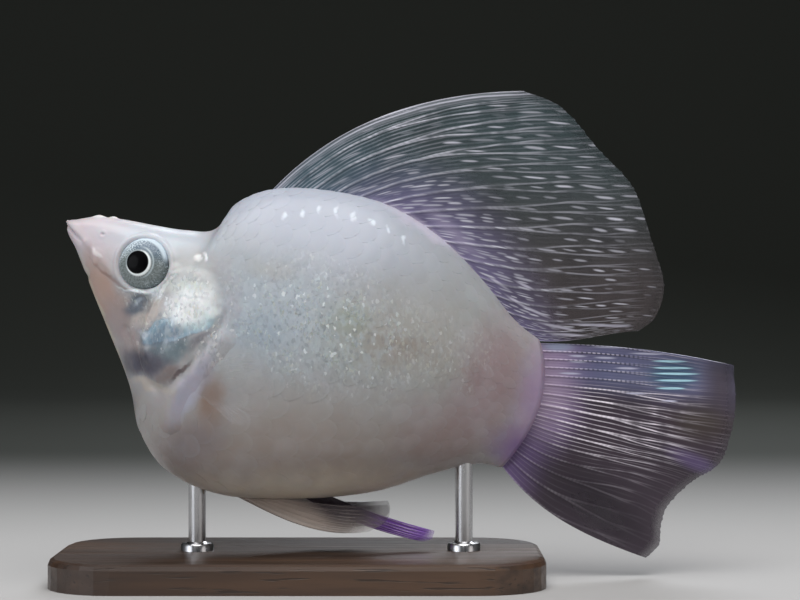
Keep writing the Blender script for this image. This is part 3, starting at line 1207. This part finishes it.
pelvic_material = make_fin_material(
    "pelvic fin", PELVIC_RAYS, root=(0.50, 0.41, 0.35), front=(0.30, 0.25, 0.22), rear=(0.06, 0.045, 0.05),
    pale=(0.52, 0.45, 0.42), clear=0.80, lines=(0.8, 0.8, 0.6), hairs=3, hair_light=(0.5, 0.5, 0.5),
    thins=(0.72, 0.25),
    patches=[
        ((-1.2, 6.6), (4.9, 2.1), -14, 0.95, 0.6, (0.50, 0.41, 0.35)),
        ((6.9, 7.6), (2.2, 0.7), -6, 0.7, 0.8, (0.035, 0.025, 0.035)),
    ],
)
violet_material = make_fin_material(
    "violet fin", ANAL_RAYS, root=(0.06, 0.045, 0.05), root_reach=0.66, front=(0.24, 0.075, 0.50),
    rear=(0.26, 0.085, 0.57), pale=(0.84, 0.66, 0.98), clear=0.95, lines=(1.0, 0.9, 0.8), hairs=3,
    hair_light=(0.8, 0.8, 0.8), fades=(0.8, 1.0, 0.6), thins=(0.9, 0.3),
    patches=[((3.2, 8.1), (3.6, 1.2), -15, 1.0, 0.5, (0.060, 0.044, 0.056))],
)
print("patches on the tail:", len(TAIL_PATCHES))


# %% Dorsal fin
def back_root(u):
    """A place just under the back where a fin grows from the body at section u."""
    back = section(u)[0]
    tangent = (section(u + 0.05)[0] - section(u - 0.05)[0]).normalized()
    return back - Vector((-tangent.y, tangent.x)) * GAP * 1.5


DORSAL_FRONT, DORSAL_REAR = 7.75, 13.85
DORSAL_RIM_KEYS = by_length((
    (23.2, 50.4), (27.1, 48.8), (31.1, 44.4), (34.6, 40.5),
    (36.6, 34.7), (37.8, 30.2), (36.9, 27.0), (35.2, 25.6),
))
DORSAL_CROWDING = 1.6
DORSAL_ROOT_ANGLES = (
    (0, 48), (0.14, 38), (0.28, 24), (0.42, 5), (0.57, -12), (0.7, -25), (0.85, -25), (1, -8)
)
DORSAL_TIP_ANGLES = ((0, 1), (0.25, 4), (0.5, 1), (0.75, -2), (1, 3))
DORSAL_WAVE = 0.5 * MM


def dorsal_place(across, out):
    root = back_root(DORSAL_FRONT + (DORSAL_REAR - DORSAL_FRONT) * across)
    tip = curve_through(DORSAL_RIM_KEYS, 1 - (1 - across) ** DORSAL_CROWDING)
    flat = bent_ray(root, tip, DORSAL_ROOT_ANGLES, DORSAL_TIP_ANGLES, across, out)
    wave = DORSAL_WAVE * out**2 * math.sin(across * math.tau * 1.25)
    return Vector((flat.x, sway(flat.x) + wave, flat.y))


make_fin(
    "dorsal_sail", "dorsal_fin", DORSAL_RAYS, 90, dorsal_place, dorsal_material, 0.18 * MM
)

# %% Tail fin
TAIL_RIM_KEYS = by_length((
    (45.4, 21.9), (45.5, 18.6), (45.0, 15.3), (43.6, 11.7), (41.2, 10.1),
    (39.3, 8.4), (38.1, 6.9), (37.6, 5.1), (37.4, 3.2), (36.0, 1.9),
))
TAIL_SPREAD = ((0, 0), (0.3, 0.12), (0.45, 0.28), (0.6, 0.46), (0.75, 0.62), (0.88, 0.8), (1, 1))
TAIL_ROOT_ANGLES = ((0, -1), (0.3, -3), (0.5, -10), (0.7, -26), (0.85, -40), (1, -54))
TAIL_TIP_ANGLES = ((0, -13), (0.3, -4), (0.5, -10), (0.7, -22), (0.85, -28), (1, -20))
TAIL_WAVE = 0.9 * MM


def tail_place(across, out):
    share = 0.03 + 0.94 * across
    point = point_on(section(LAST_SECTION), LAST_SECTION, math.acos(1 - 2 * share))
    root = Vector((point.x - 1.5 * GAP, point.z))
    tip = curve_through(TAIL_RIM_KEYS, curve_through(TAIL_SPREAD, across))
    flat = bent_ray(root, tip, TAIL_ROOT_ANGLES, TAIL_TIP_ANGLES, across, out)
    wave = TAIL_WAVE * out**1.5 * math.sin((across * 1.3 + 0.1) * math.tau)
    return Vector((flat.x, sway(flat.x) + wave, flat.y))


make_fin(
    "tail_fan", "tail_fin", TAIL_RAYS, 80, tail_place, tail_material, 0.17 * MM, ragged=0.005
)

# %% Pectoral, pelvic and anal fins
PECTORAL_ROOT_TOP, PECTORAL_ROOT_END = (-8.9, 22.4), (-9.9, 19.6)
PECTORAL_LENGTH, PECTORAL_ANGLES, PECTORAL_SWING = 9.0 * MM, (14, -34), math.radians(34)
PECTORAL_CUP, PECTORAL_SINKS, PELVIC_SINKS, ANAL_SINKS = 0.5 * MM, 0.1 * MM, 0.2 * MM, 0.1 * MM
PELVIC_ROOT_X, PELVIC_SPLAY, PELVIC_Y = (-6.9, -4.2), math.radians(17), 1.5 * MM
PELVIC_RIM_KEYS = by_length(((7.2, 5.3), (8.6, 6.0), (9.3, 7.0), (9.1, 7.9)))
PELVIC_ROOT_ANGLES, PELVIC_TIP_ANGLES = ((0, -26), (1, -8)), ((0, 10), (1, 4))
PELVIC_BEND_OUT = 0.5 * MM
ANAL_ROOT_X = (0.2, 2.8)
ANAL_RIM_KEYS = by_length(((12.6, 3.9), (13.6, 4.2), (13.9, 5.0)))
ANAL_ROOT_ANGLES, ANAL_TIP_ANGLES = ((0, -30), (1, -22)), ((0, -12), (1, -14))


def flank_hit(x, z, side):
    """The skin's outer point and normal on one flank at x and z."""
    hit, normal, _, _ = body_surface.ray_cast(Vector((x, side * 60 * MM, z)), Vector((0, -side, 0)))
    return hit, normal


def belly_root(ends, y, sinks, across):
    """Where a fin grows from the belly, a little way inside the skin."""
    x = (ends[0] + (ends[1] - ends[0]) * across) * MM
    hit = body_surface.ray_cast(Vector((x, y, 0)), Vector((0, 0, 1)))[0]
    return Vector((hit.x, hit.z + sinks))


def pectoral_place(side):
    top, end = in_metres(PECTORAL_ROOT_TOP), in_metres(PECTORAL_ROOT_END)

    def place(across, out):
        flat = top.lerp(end, across)
        hit, normal = flank_hit(flat.x, flat.y, side)
        lie = direction(PECTORAL_ANGLES[0] + (PECTORAL_ANGLES[1] - PECTORAL_ANGLES[0]) * across)
        swung = Vector((lie.x * math.cos(PECTORAL_SWING), side * math.sin(PECTORAL_SWING), lie.y))
        bulge = math.sin(math.pi * (0.15 + 0.7 * across)) ** 0.6
        cup = normal * PECTORAL_CUP * math.sin(math.pi * across) * out * (1 - out)
        return hit - normal * PECTORAL_SINKS + swung.normalized() * PECTORAL_LENGTH * bulge * out + cup

    return place


def pelvic_place(side):
    def place(across, out):
        root = belly_root(PELVIC_ROOT_X, side * PELVIC_Y, PELVIC_SINKS, across)
        tip = curve_through(PELVIC_RIM_KEYS, across)
        flat = bent_ray(root, tip, PELVIC_ROOT_ANGLES, PELVIC_TIP_ANGLES, across, out)
        y = PELVIC_Y + (root.y - flat.y) * math.tan(PELVIC_SPLAY) + PELVIC_BEND_OUT * out
        return Vector((flat.x, side * y, flat.y))

    return place


def anal_place(across, out):
    root = belly_root(ANAL_ROOT_X, 0, ANAL_SINKS, across)
    tip = curve_through(ANAL_RIM_KEYS, across)
    flat = bent_ray(root, tip, ANAL_ROOT_ANGLES, ANAL_TIP_ANGLES, across, out)
    return Vector((flat.x, 0, flat.y))


for side_name, side in SIDES.items():
    make_fin(
        f"side_fin_{side_name}", f"pectoral_fin_{side_name}", PECTORAL_RAYS, 40, pectoral_place(side),
        clear_fin_material, 0.11 * MM,
    )
    make_fin(
        f"belly_fin_{side_name}", f"pelvic_fin_{side_name}", PELVIC_RAYS, 50, pelvic_place(side),
        pelvic_material, 0.20 * MM,
    )
make_fin("anal_rays", "anal_fin", ANAL_RAYS, 50, anal_place, violet_material, 0.28 * MM)

# %% [markdown]
# ## Stand
# The fish swims, so a plain stand holds it up: a base of dark stained wood and two thin steel rods. The
# base keeps its solid, which already has rounded corners, and only gets its grain. The rods become new
# ones that enter the belly at the top and a small collar at the foot, so that no gap shows.


# %% Wood and steel
def make_wood_material():
    made, tree, shader = new_material("dark stained wood", Coat_Weight=0.3, Coat_Roughness=0.25)
    place = object_place(tree)
    bend = speckle(place, 40, 2, (0.25, 1.0, 1.0))
    bent = place.vector_math("ADD", bend.step("ShaderNodeCombineXYZ", {1: bend * 0.006}))
    grain = speckle(bent, 900, 5, (0.05, 1.0, 1.0))
    broad = speckle(bent, 210, 3, (0.06, 1.0, 1.0))
    pores = ease_between(speckle(place, 3200, 2, (0.06, 1.0, 1.0)), 0.60, 0.68)
    colour = layered(
        blend_colours(ease_between(broad, 0.35, 0.65), (0.040, 0.021, 0.013), (0.100, 0.054, 0.031)),
        (ease_between(grain, 0.40, 0.68, 0.0, 0.7), (0.040, 0.022, 0.014)),
        (pores * 0.7, (0.02, 0.012, 0.008)),
    )
    rough = ease_between(grain, 0.3, 0.7, 0.38, 0.55)
    dress(shader, Base_Color=colour, Roughness=rough, Normal=raised(grain - pores, 0.00005, 0.5))
    return made


def make_steel_material():
    made, tree, shader = new_material("brushed steel", Metallic=1.0)
    brushing = speckle(object_place(tree), 2600, 3, (1.0, 1.0, 0.04))
    colour = blend_colours(brushing, (0.52, 0.52, 0.53), (0.68, 0.68, 0.69))
    rough = ease_between(brushing, 0.3, 0.7, 0.22, 0.36)
    dress(shader, Base_Color=colour, Roughness=rough, Normal=raised(brushing, 0.00002, 0.4))
    return made


wood_material = make_wood_material()
steel_material = make_steel_material()
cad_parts["stand_base"].material_slots[0].material = wood_material
print("stand finishes:", wood_material.name, "and", steel_material.name)


# %% Rods
ROD_SINKS = 0.9 * MM  # how far a rod goes on into the belly
# The collar's profile: its half width in radii of the rod, and the height over the base in mm
COLLAR = ((0.0, -0.5), (1.9, -0.5), (1.9, 0.55), (1.75, 0.75), (1.2, 0.8), (1.0, 0.95))


def make_rod(node):
    """A rod turned from a profile: a collar with a rounded shoulder, then the straight rod."""
    lowest, highest = (Vector(corner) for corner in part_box(node))
    base_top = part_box("stand_base")[1][2]
    middle = (lowest + highest) / 2
    radius = (highest.x - lowest.x) / 2
    outline = [(radius * wide, base_top + rise * MM) for wide, rise in COLLAR]
    outline += [(radius, highest.z + ROD_SINKS), (0.0, highest.z + ROD_SINKS)]
    rod = bmesh.new()
    points = [rod.verts.new((r, 0, z)) for r, z in outline]
    edges = [rod.edges.new(pair) for pair in zip(points, points[1:])]
    bmesh.ops.spin(
        rod, geom=points + edges, cent=(0, 0, 0), axis=(0, 0, 1), angle=math.tau, steps=48, use_merge=True
    )
    bmesh.ops.remove_doubles(rod, verts=rod.verts, dist=1e-6)
    bmesh.ops.recalc_face_normals(rod, faces=rod.faces)
    bmesh.ops.translate(rod, verts=rod.verts, vec=(middle.x, middle.y, 0))
    piece = object_from(f"{node}_turned", rod, steel_material)
    piece.data.set_sharp_from_angle(angle=math.radians(35))
    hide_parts(node)


for node in ("stand_rod_front", "stand_rod_rear"):
    make_rod(node)
